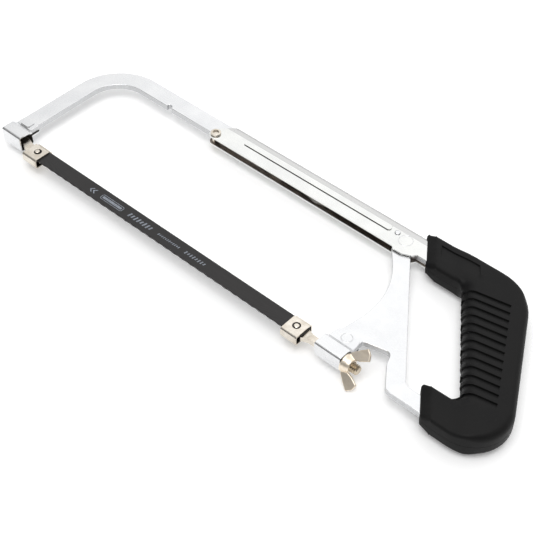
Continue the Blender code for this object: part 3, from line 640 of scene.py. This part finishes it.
def standing_faces(mesh, edge_slot):
    """Gives the faces that stand upright on a flat bar's outline the sheared edge's finish."""
    for face in mesh.polygons:
        if abs(face.normal.z) < UPRIGHT_NORMAL_Z:
            face.material_index = edge_slot


def refined(node, material, body, bevel, inner_shade=None, axis_y=0.0, cutters=(), before_x=None, edge=None):
    """A CAD node's own shape with its arrises rounded over, shown in the node's place.

    Inner faces get the darker material of painted shade and upright ones the edge material, where those are
    given.
    The shape is cut off beyond before_x.
    """
    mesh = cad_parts[node].data.copy()
    work = bmesh.new()
    work.from_mesh(mesh)
    clean(work)
    if before_x is not None:
        geometry = work.verts[:] + work.edges[:] + work.faces[:]
        plane = at(before_x, 0.0, 0.0)
        cut = bmesh.ops.bisect_plane(
            work, geom=geometry, plane_co=plane, plane_no=(1, 0, 0), clear_outer=True
        )
        rim = [item for item in cut["geom_cut"] if isinstance(item, bmesh.types.BMEdge)]
        bmesh.ops.holes_fill(work, edges=rim)
        clean(work)
    bmesh.ops.dissolve_limit(work, angle_limit=FLAT_ANGLE, verts=work.verts, edges=work.edges)
    work.to_mesh(mesh)
    work.free()
    if cutters:
        mesh = subtract(mesh, [to_model(cutter) for cutter in cutters])
    piece = new_object(node + "_shown", mesh, material, body, (node,))
    if inner_shade is not None:
        mesh.materials.append(inner_shade)
        facing_inwards(mesh, axis_y, 1)
    if edge is not None:
        mesh.materials.append(edge)
        standing_faces(mesh, 1)
    rounding = piece.modifiers.new("Rounded arrises", "BEVEL")
    rounding.width = bevel * MM
    rounding.segments = 2
    rounding.limit_method = "ANGLE"
    rounding.angle_limit = ARRIS_ANGLE
    mesh.shade_smooth()
    normals = piece.modifiers.new("Weighted normals", "WEIGHTED_NORMAL")
    normals.weight = 60


def weld_ring(name, centre, radius, bead, material):
    """A faint raised ring left by a spot weld on a face."""
    work = bmesh.new()
    x, y, z = centre
    rings = []
    for index in range(WELD_STEPS):
        turn = 2 * pi * index / WELD_STEPS
        ring = []
        for side in range(BEAD_SIDES):
            lean = 2 * pi * side / BEAD_SIDES
            out = radius + bead * cos(lean)
            up = BEAD_FLATTENING * bead * sin(lean)
            ring.append(work.verts.new((x + out * cos(turn), y + out * sin(turn), z + up)))
        rings.append(ring)
    skin(work, rings, rings[1:] + rings[:1])
    bmesh.ops.recalc_face_normals(work, faces=work.faces)
    mesh = to_model(to_mesh(work, name))
    mesh.shade_smooth()
    new_object(name, mesh, material, "frame")


# ---- handle ----------------------------------------------------------------------------------


def edge_radius(point, outward):
    """How far the handle's face rounds over at an outline point, before smoothing."""
    on_grip_side = abs(point.dot(ACROSS) - GRIP_SIDE) < 0.9
    if on_grip_side and outward.dot(ACROSS) < -0.9:
        return CREST_ROUND
    if outward.x < -0.55:
        return NOSE_ROUND
    if outward.x > 0.6:
        return BACK_ROUND
    if outward.y > 0:
        return TOP_ROUND if point.y > TOP_FROM_Y else FOOT_TOP_ROUND
    return UNDERSIDE_ROUND


def handle_rim():
    """The handle's outline points, their inward directions and the rounding radius at each."""
    points = evenly(rounded(HANDLE_CORNERS, OUTLINE_TURN), OUTLINE_STEP)
    count = len(points)
    inward = []
    radii = []
    for index, point in enumerate(points):
        along = (points[(index + 1) % count] - points[index - 1]).normalized()
        normal = Vector((-along.y, along.x))
        inward.append(normal)
        radii.append(edge_radius(point, -normal))
    window = np.hanning(ROUND_SMOOTHING)
    smooth = np.convolve(np.tile(radii, 3), window / window.sum(), "same")[count : 2 * count]
    return np.array(points), np.array(inward), smooth


def thickness(points):
    """Half the handle's thickness at each point: thin at the legs' noses, full at the grip."""
    return np.interp(points @ np.array(ACROSS), THICKNESS_ACROSS, THICKNESS)


def face_height(points, rim, radii):
    """The height of the handle's plain face above the parting plane at each point."""
    distance = np.linalg.norm(points[:, None, :] - rim[None, :, :], axis=2)
    share = distance / radii[None, :]
    nearest = share.argmin(1)
    inside = np.clip(share[np.arange(len(points)), nearest], 0.0, 1.0)
    radius = radii[nearest]
    return thickness(points) - radius * (1 - np.sqrt(1 - (1 - inside) ** 2))


def rib_lines():
    """Each rib's start on the crest of the grip and its end near the grip's outer side."""
    direction = Vector((cos(RIB_ANGLE), sin(RIB_ANGLE)))
    end_from = Vector(RIB_ENDS[0])
    end_along = Vector(RIB_ENDS[1]) - end_from
    lines = []
    for index in range(RIB_COUNT):
        start = Vector(RIB_START)
        if index:
            start = Vector(RIB_NEXT).lerp(Vector(RIB_LAST), (index - 1) / (RIB_COUNT - 2))
        reach = (end_from - start).cross(end_along) / direction.cross(end_along)
        lines.append((start, start + direction * reach))
    return direction, lines


def step_edge(value):
    """0 before a step, 1 after it, and a steep wall between."""
    return np.clip((value + STEP_HALF) / (2 * STEP_HALF), 0.0, 1.0)


def relief(points):
    """How deep each point of the face lies below the plain face: the ribs and the panel."""
    direction, lines = rib_lines()
    along = np.array(direction)
    down = np.array((direction.y, -direction.x))
    depth = np.zeros(len(points))
    for _, end in lines:
        offset = points - np.array(end)
        below = offset @ down
        inside = step_edge(-(offset @ along))
        ramp = np.clip(1 - (below - STEP_HALF) / RIB_RAMP, 0.0, 1.0)
        depth = np.maximum(depth, RIB_DEPTH * step_edge(below) * ramp * inside)
    across = points @ np.array(ACROSS)
    ends = [Vector((x, PANEL_TOP)).dot(ACROSS) for x in PANEL_X]
    inside = step_edge(PANEL_TOP - points[:, 1]) * step_edge(across - ends[0]) * step_edge(ends[1] - across)
    fade = np.clip((points[:, 1] - PANEL_LOW) / (PANEL_TOP - PANEL_LOW), 0.0, 1.0)
    return np.maximum(depth, PANEL_DEPTH * fade * inside)


def relief_edges():
    """The straight lines along which the relief bends, as pairs of points."""
    direction, lines = rib_lines()
    down = Vector((direction.y, -direction.x))
    segments = []
    for start, end in lines:
        far = start - direction * RIB_START_REACH
        for below in (-STEP_HALF, STEP_HALF, RIB_RAMP * 0.5, RIB_RAMP + STEP_HALF):
            segments.append((far + down * below, end + direction * STEP_HALF + down * below))
        for beyond in (-STEP_HALF, STEP_HALF):
            tip = end + direction * beyond
            segments.append((tip - down * STEP_HALF, tip + down * (RIB_RAMP + STEP_HALF)))
    slant = Vector((ACROSS.y, -ACROSS.x))
    for offset in (-STEP_HALF, STEP_HALF):
        left = Vector((PANEL_X[0], PANEL_TOP)) + ACROSS * offset
        right = Vector((PANEL_X[1], PANEL_TOP)) + ACROSS * offset
        drop = (PANEL_TOP - PANEL_LOW) / -slant.y
        segments.append((left - slant, left + slant * drop))
        segments.append((right - slant, right + slant * drop))
        level = PANEL_TOP + offset
        segments.append((Vector((PANEL_X[0] - 1, level)), Vector((PANEL_X[1] + 1, level))))
    low_left = Vector((PANEL_X[0], PANEL_TOP)) + slant * drop
    low_right = Vector((PANEL_X[1], PANEL_TOP)) + slant * drop
    segments.append((low_left, low_right))
    for anchor in FACET_NEAR:
        middle = anchor + ACROSS * (FACET_AT - anchor.dot(ACROSS))
        segments.append((middle - slant * FACET_HALF, middle + slant * FACET_HALF))
    return segments


def inside_outline(points, outline):
    """Which points lie inside a closed outline, by counting the sides that a ray crosses."""
    x, y = points[:, 0], points[:, 1]
    inside = np.zeros(len(points), bool)
    following = np.roll(outline, -1, axis=0)
    for (x1, y1), (x2, y2) in zip(outline, following):
        if y1 == y2:
            continue
        crossing = (y1 > y) != (y2 > y)
        inside ^= crossing & (x < (x2 - x1) * (y - y1) / (y2 - y1) + x1)
    return inside


def clip_segments(segments, outline):
    """Cuts segments into pieces of about RELIEF_STEP and keeps those inside the outline."""
    kept = []
    for first, last in segments:
        pieces = max(1, round((last - first).length / RELIEF_STEP))
        marks = [first.lerp(last, piece / pieces) for piece in range(pieces + 1)]
        within = inside_outline(np.array(marks), outline)
        for index in range(pieces):
            if within[index] or within[index + 1]:
                kept.append((marks[index], marks[index + 1]))
    return kept


def handle_face():
    """The flat triangulation under one face of the handle: rings at the rim, lines of relief."""
    rim, inward, radii = handle_rim()
    count = len(rim)
    points = [Vector(point) for point in rim]
    edges = [(index, (index + 1) % count) for index in range(count)]
    for ring in range(1, RINGS + 1):
        offset = 1 - cos(pi / 2 * ring / RINGS)
        start = len(points)
        points += [Vector(p) for p in rim + inward * (radii * offset)[:, None]]
        edges += [(start + index, start + (index + 1) % count) for index in range(count)]
    for first, last in clip_segments(relief_edges(), rim):
        edges.append((len(points), len(points) + 1))
        points += [first, last]
    low, high = rim.min(0), rim.max(0)
    columns = np.arange(low[0], high[0], GRID_STEP)
    rows = np.arange(low[1], high[1], GRID_STEP)
    grid = np.array([(x, y) for x in columns for y in rows])
    clear = np.linalg.norm(grid[:, None, :] - rim[None, :, :], axis=2) - radii[None, :]
    grid = grid[(clear.min(1) > 1.0) & inside_outline(grid, rim)]
    points += [Vector(point) for point in grid]
    outline = list(range(count))
    flat, _, faces, _, _, _ = delaunay_2d_cdt(points, edges, [outline], 1, 1e-4)
    return np.array(flat), faces, rim, radii


def handle_shell_mesh(side):
    """One closed moulded shell, near (side +1) or far (side -1), in the saw's millimetres."""
    flat, faces, rim, radii = handle_face()
    height = face_height(flat, rim, radii)
    mesh = bpy.data.meshes.new("plain_face")
    mesh.from_pydata([(x, y, z) for (x, y), z in zip(flat, height)], [], [tuple(face) for face in faces])
    normals = np.array([vertex.normal for vertex in mesh.vertices])
    if normals[:, 2].mean() < 0:
        normals = -normals
        mesh.flip_normals()
    moved = np.array([vertex.co for vertex in mesh.vertices]) - normals * relief(flat)[:, None]
    work = bmesh.new()
    work.from_mesh(mesh)
    for vertex, place in zip(work.verts, moved):
        vertex.co = place
    rim_edges = [edge for edge in work.edges if edge.is_boundary]
    wall = bmesh.ops.extrude_edge_only(work, edges=rim_edges)["geom"]
    foot = [item for item in wall if isinstance(item, bmesh.types.BMVert)]
    for vertex in foot:
        vertex.co.z = min(vertex.co.z, PARTING + PARTING_CHAMFER)
    rim_edges = [item for item in wall if isinstance(item, bmesh.types.BMEdge) and item.is_boundary]
    wall = bmesh.ops.extrude_edge_only(work, edges=rim_edges)["geom"]
    foot = [item for item in wall if isinstance(item, bmesh.types.BMVert)]
    for vertex in foot:
        vertex.co.z = PARTING
    rim_edges = [item for item in wall if isinstance(item, bmesh.types.BMEdge) and item.is_boundary]
    bmesh.ops.holes_fill(work, edges=rim_edges)
    bmesh.ops.recalc_face_normals(work, faces=work.faces)
    if side < 0:
        for vertex in work.verts:
            vertex.co.z = -vertex.co.z
        bmesh.ops.reverse_faces(work, faces=work.faces)
    shell = to_mesh(work, "handle_shell")
    bpy.data.meshes.remove(mesh)
    return shell


def make_handle(material):
    """Both shells, slotted for the steel, the far one with wells for the screws' heads."""
    _, channel_high = node_in_saw("backbone_channel")
    channel_end = (channel_high.x + FIT_GAP, channel_high.y + FIT_GAP, CHANNEL_SLOT_Z)
    slot = box_mesh(CHANNEL_SLOT_FROM, channel_end)
    foot_slot = box_mesh(FOOT_SLOT_FROM, (FOOT_END_X + FIT_GAP, *FOOT_SLOT_TOP))
    near = subtract(handle_shell_mesh(1), [slot.copy(), foot_slot.copy()])
    wells = []
    for node in ("upper_leg", "lower_leg", "grip_top", "grip_end"):
        low, high = node_in_saw("handle_screw_" + node)
        middle = (low + high) / 2
        radius = (high.x - low.x) / 2 + FIT_GAP
        wells.append(cylinder_mesh(middle.x, middle.y, radius, WELL_FROM_Z, low.z + WELL_DEPTH))
    far = subtract(handle_shell_mesh(-1), [slot, foot_slot, *wells])
    for name, mesh in (("near", near), ("far", far)):
        to_model(mesh)
        mesh.shade_smooth()
        mesh.set_sharp_from_angle(angle=radians(38))
        node = f"handle_{name}_shell"
        new_object(node + "_shown", mesh, material, "frame", (node,))


# ---- blade -----------------------------------------------------------------------------------


def set_offset(x):
    """How far the wavy set leans the teeth out of the blade's plane at x."""
    return TOOTH_SET * sin(2 * pi * x / SET_WAVE)


def make_blade(paint, ink):
    """The blade: a thin strip with wavy-set teeth, and plain marks printed on its near side."""
    left = -BLADE_END + TOOTH_MARGIN
    right = BLADE_PITCH + BLADE_END - TOOTH_MARGIN
    count = int((right - left) / TOOTH_PITCH)
    low = -BLADE_HALF_WIDTH
    teeth = []
    for index in range(count):
        tip = left + index * TOOTH_PITCH
        teeth += [(tip, low, 0.0), (tip + 0.25 * TOOTH_PITCH, low + TOOTH_DEPTH, 0.0)]
    front = -BLADE_END
    rear = BLADE_PITCH + BLADE_END
    ends = [
        (rear, low, BLADE_CORNER),
        (rear, -low, BLADE_CORNER),
        (front, -low, BLADE_CORNER),
    ]
    outline = rounded([(front, low, BLADE_CORNER), *teeth, *ends])
    points = list(outline)
    edges = [(index, (index + 1) % len(outline)) for index in range(len(outline))]
    fold = len(points)
    steps = 2 * count
    points += [Vector((left + (right - left) * step / steps, low + SET_ROOT)) for step in range(steps + 1)]
    edges += [(fold + step, fold + step + 1) for step in range(steps)]
    flat, _, faces, _, _, _ = delaunay_2d_cdt(points, edges, [list(range(len(outline)))], 1, 1e-5)
    work = bmesh.new()
    half = BLADE_THICK / 2
    for side in (1, -1):
        verts = []
        for x, y in flat:
            lean = max(0.0, (low + SET_ROOT - y) / SET_ROOT) * set_offset(x)
            verts.append(work.verts.new((x, y, BLADE_Z + lean + side * half)))
        for face in faces:
            corners = [verts[index] for index in face]
            work.faces.new(corners if side > 0 else corners[::-1])
    rims = {}
    for edge in [edge for edge in work.edges if edge.is_boundary]:
        key = tuple(sorted((round(v.co.x, 4), round(v.co.y, 4)) for v in edge.verts))
        rims.setdefault(key, []).append(edge)
    for pair in rims.values():
        a, b = pair[0].verts
        c, d = pair[1].verts
        if (a.co.xy - c.co.xy).length > (a.co.xy - d.co.xy).length:
            c, d = d, c
        work.faces.new((a, b, d, c))
    bmesh.ops.recalc_face_normals(work, faces=work.faces)
    mesh = to_mesh(work, "blade")
    holes = [cylinder_mesh(x, 0.0, BLADE_HOLE_R, BLADE_Z - 1, BLADE_Z + 1) for x in (0.0, BLADE_PITCH)]
    mesh = to_model(subtract(mesh, holes))
    mesh.shade_smooth()
    mesh.set_sharp_from_angle(angle=radians(35))
    new_object("hacksaw_blade_shown", mesh, paint, "tension_screw", ("hacksaw_blade",))
    make_blade_marks(ink)


def bar(start, end, half_width, radius):
    """The outline of a rounded bar that lies along the blade."""
    corners = [(start, -half_width), (end, -half_width), (end, half_width), (start, half_width)]
    return rounded([(x, y, radius) for x, y in corners])


def make_blade_marks(ink):
    """Printed marks with no lettering: two chevrons, a bordered bar and rows of strokes."""
    shapes = [([(start + x, y) for x, y in CHEVRON], ()) for start in CHEVRONS_X]
    shapes.append((bar(*BORDER), [bar(*BORDER_INSIDE)]))
    shapes.append((bar(*BORDERED_BAR), ()))
    for start, count, step, wide, tall in MARK_ROWS:
        lean = STROKE_LEAN * tall
        for index in range(count):
            x = start + step * index
            high = tall * (SHORT_STROKE if index % 3 == 1 else 1.0) / 2
            stroke = [(x, -high), (x + wide, -high), (x + wide + lean, high), (x + lean, high)]
            shapes.append((stroke, ()))
    top = BLADE_Z + BLADE_THICK / 2
    work = bmesh.new()
    for outline, holes in shapes:
        part = solid_outline(outline, top - MARK_SUNK, top + MARK_PROUD, holes=holes)
        work.from_mesh(part)
        bpy.data.meshes.remove(part)
    mesh = to_model(to_mesh(work, "marks"))
    new_object("blade_marks", mesh, ink, "tension_screw")


# ---- tension screw and nut -------------------------------------------------------------------


def make_thread(material):
    """The bolt's right-hand thread, rolled to a rounded crest, with a chamfered end."""
    first, last = THREAD_X
    rows = int((last - first) / THREAD_PITCH * THREAD_ROWS_PER_TURN)
    work = bmesh.new()
    rings = []
    for row in range(rows + 1):
        x = first + (last - first) * row / rows
        fade = min(1.0, (x - first) / THREAD_RUN_IN)
        chamfered = THREAD_R - max(0.0, THREAD_CHAMFER - (last - x))
        ring = []
        for index in range(THREAD_SIDES):
            angle = 2 * pi * index / THREAD_SIDES
            phase = (x / THREAD_PITCH - angle / (2 * pi)) % 1.0
            crest = 1 - abs(2 * phase - 1)
            height = crest * fade + THREAD_RUN_IN_SHARE * (1 - fade)
            radius = min(THREAD_ROOT + (THREAD_R - THREAD_ROOT) * height, chamfered)
            ring.append(work.verts.new((x, radius * cos(angle), radius * sin(angle))))
        rings.append(ring)
    skin(work, rings[:-1], rings[1:])
    for ring in (rings[0], rings[-1]):
        work.faces.new(ring)
    bmesh.ops.recalc_face_normals(work, faces=work.faces)
    mesh = to_model(to_mesh(work, "thread"))
    mesh.shade_smooth()
    mesh.set_sharp_from_angle(angle=radians(40))
    new_object("bolt_thread", mesh, material, "tension_screw", ("tension_bolt",))


def hub_mesh():
    """The nut's hub, turned from its profile."""
    work = bmesh.new()
    rings = []
    for radius, along in HUB_PROFILE:
        ring = []
        for index in range(NUT_SIDES):
            angle = 2 * pi * index / NUT_SIDES
            place = (NUT_FACE_X + along, radius * cos(angle), radius * sin(angle))
            ring.append(work.verts.new(place))
        rings.append(ring)
    skin(work, rings, rings[1:] + rings[:1])
    bmesh.ops.recalc_face_normals(work, faces=work.faces)
    return to_mesh(work, "hub")


def wing_mesh(angle):
    """One wing at its angle round the screw, thicker towards its root."""
    outline = [tuple(point) for point in rounded(WING_CORNERS)]
    part = solid_outline(outline, -WING_HALF_THICK, WING_HALF_THICK, WING_EDGE)
    for vertex in part.vertices:
        root = max(0.0, 1 - (vertex.co.y - WING_ROOT_Y) / WING_ROOT_FADE)
        vertex.co.z *= WING_TIP_SHARE + WING_ROOT_EXTRA * root
    part.transform(Matrix.Rotation(angle, 4, "X"))
    return part


def make_wing_nut(material):
    """The cast wing nut: hub and wings grown together, with soft fillets."""
    work = bmesh.new()
    for part in (hub_mesh(), wing_mesh(WING_TILT), wing_mesh(WING_TILT + pi)):
        work.from_mesh(part)
        bpy.data.meshes.remove(part)
    mesh = modified(
        to_mesh(work, "nut_parts"),
        "nut",
        ("REMESH", {"mode": "VOXEL", "voxel_size": NUT_VOXEL}),
        ("SMOOTH", {"factor": 0.5, "iterations": 4}),
    )
    mesh = subtract(mesh, [x_cylinder(NUT_BORE_R, NUT_FACE_X - 2, NUT_FACE_X + NUT_LONG + 2)])
    to_model(mesh)
    mesh.shade_smooth()
    mesh.set_sharp_from_angle(angle=radians(50))
    new_object("wing_nut_shown", mesh, material, "nut", ("wing_nut",))


# ---- floor, light and camera -----------------------------------------------------------------


def make_stage():
    """A plain pale floor under the saw."""
    work = bmesh.new()
    bmesh.ops.create_grid(work, x_segments=2, y_segments=2, size=FLOOR_HALF)
    mesh = to_mesh(work, "floor")
    nodes = Nodes("floor_white")
    nodes.set(Base_Color=(0.93, 0.93, 0.93, 1.0), Roughness=0.9, Specular_IOR_Level=0.2)
    nodes.set(Emission_Color=(1.0, 1.0, 1.0, 1.0), Emission_Strength=FLOOR_GLOW)
    mesh.materials.append(nodes.material)
    floor = bpy.data.objects.new("floor", mesh)
    bpy.context.scene.collection.objects.link(floor)


def make_key_light():
    """One large square light, nearly overhead and a little in front of the blade."""
    light = bpy.data.lights.new("key", "AREA")
    light.shape = "RECTANGLE"
    light.size = light.size_y = KEY_SIZE
    light.energy = KEY_WATTS
    holder = bpy.data.objects.new("key", light)
    holder.location = KEY_AT
    holder.rotation_euler = (-Vector(KEY_AT)).to_track_quat("-Z", "Y").to_euler()
    bpy.context.scene.collection.objects.link(holder)


def make_world():
    """Studio surroundings: one broad bright sky behind the saw, darker towards the front."""
    world = bpy.data.worlds.new("studio")
    bpy.context.scene.world = world
    world.use_nodes = True
    tree = world.node_tree
    background = tree.nodes["Background"]
    place = tree.nodes.new("ShaderNodeTexCoord")
    towards = tree.nodes.new("ShaderNodeVectorMath")
    towards.operation = "DOT_PRODUCT"
    towards.inputs[1].default_value = Vector(SKY_TOWARDS).normalized()
    tree.links.new(place.outputs["Generated"], towards.inputs[0])
    spread = tree.nodes.new("ShaderNodeMapRange")
    spread.inputs["From Min"].default_value = -1.0
    tree.links.new(towards.outputs["Value"], spread.inputs["Value"])
    background.inputs["Strength"].default_value = SKY_STRENGTH
    ramp = tree.nodes.new("ShaderNodeValToRGB")
    stops = ramp.color_ramp.elements
    while len(stops) < len(SKY):
        stops.new(1.0)
    for stop, (position, brightness) in zip(stops, SKY):
        tone = brightness / SKY_STRENGTH
        stop.position = position
        stop.color = (tone, tone, tone, 1.0)
    tree.links.new(spread.outputs["Result"], ramp.inputs["Fac"])
    tree.links.new(ramp.outputs["Color"], background.inputs["Color"])


def make_camera():
    """A long lens that looks down over the handle's end towards the bow's bend."""
    lens = bpy.data.cameras.new("camera")
    lens.lens = CAMERA_LENS
    lens.sensor_width = 36.0
    camera = bpy.data.objects.new("camera", lens)
    camera.location = at(*CAMERA_AT)
    camera.rotation_euler = Vector(CAMERA_TOWARDS).to_track_quat("-Z", "Y").to_euler()
    bpy.context.scene.collection.objects.link(camera)
    bpy.context.scene.camera = camera


# ---- the saw ---------------------------------------------------------------------------------

steel = plated_steel("plated_steel_shown")
steel_leg = plated_steel("plated_steel_slanted", radians(55))
channel_steel = plated_steel("plated_steel_channel", warm=0.985, shaded_from=CREASE_Y)
nickel = warm_nickel("warm_nickel", (0.80, 0.755, 0.68), (0.62, 0.56, 0.48), 0.2)
nut_nickel = warm_nickel("wing_nut_nickel", (0.98, 0.89, 0.76), (0.80, 0.70, 0.57), 0.38)
thread_nickel = warm_nickel("thread_nickel", (0.62, 0.54, 0.42), (0.42, 0.35, 0.26), 0.22)
plastic = moulded_plastic("black_plastic_shown")
dark = dark_steel("dark_steel_shown")
sheared = sheared_steel("sheared_edge_steel")
# painted shade: darker copies of the plate for the inner faces of folded sheet, a browner one in the
# channel
inner_shade = inner_shade_steel("painted_shade_inner_steel", (0.045, 0.043, 0.042), (0.13, 0.115, 0.10))
channel_inner_shade = inner_shade_steel("painted_shade_channel_inner", (0.34, 0.31, 0.29), (0.48, 0.42, 0.36))

make_camera()
make_stage()
make_world()
make_key_light()

grooves = [
    box_mesh((SLIT_X[0], y - half, low), (SLIT_X[1], y + half, ABOVE_CHANNEL_Z))
    for y, half, low in ((SLIT_Y, SLIT_HALF, SLIT_Z), (CREASE_Y, CREASE_HALF, CREASE_Z))
]
refined("backbone_channel", channel_steel, "frame", 0.25, channel_inner_shade, CHANNEL_AXIS_Y, grooves)
refined("rear_block", steel, "frame", 0.38, inner_shade, REAR_BLOCK_AXIS_Y)
refined("channel_stop_rivet", steel, "frame", 0.15)
refined("rear_plate", steel_leg, "frame", 0.12, edge=sheared)
refined("front_bow", steel, "bow", 0.15, edge=sheared)
refined("front_block", steel, "bow", 0.2, inner_shade, FRONT_BLOCK_AXIS_Y)
for node, body, bevel in (
    ("channel_front_rivet", "frame", 0.15),
    ("front_shank", "bow", 0.4),
    ("front_holder_rivet", "bow", 0.15),
    ("front_clip_rivet_head", "bow", 0.12),
    ("rear_clip_pin", "tension_screw", 0.12),
    ("front_blade_pin", "tension_screw", 0.1),
):
    refined(node, nickel, body, bevel)
for node, body in (("front_clip", "bow"), ("rear_clip", "tension_screw")):
    refined(node, nickel, body, 0.18, inner_shade, 0.0)
refined("tension_bolt", nickel, "tension_screw", 0.4, before_x=THREAD_X[0] + 0.2)
refined("bow_leaf_spring", dark, "bow", 0.12)
for node in sorted(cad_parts):
    if node.startswith("handle_screw"):
        refined(node, dark, "frame", 0.12)
for name, centre, radius, bead in WELDS:
    weld_ring(name, centre, radius, bead, steel)

make_handle(plastic)
make_blade(black_paint("black_paint_shown"), marking_ink("marking_ink"))
make_thread(thread_nickel)
make_wing_nut(nut_nickel)

bpy.context.scene.view_settings.view_transform = "Standard"
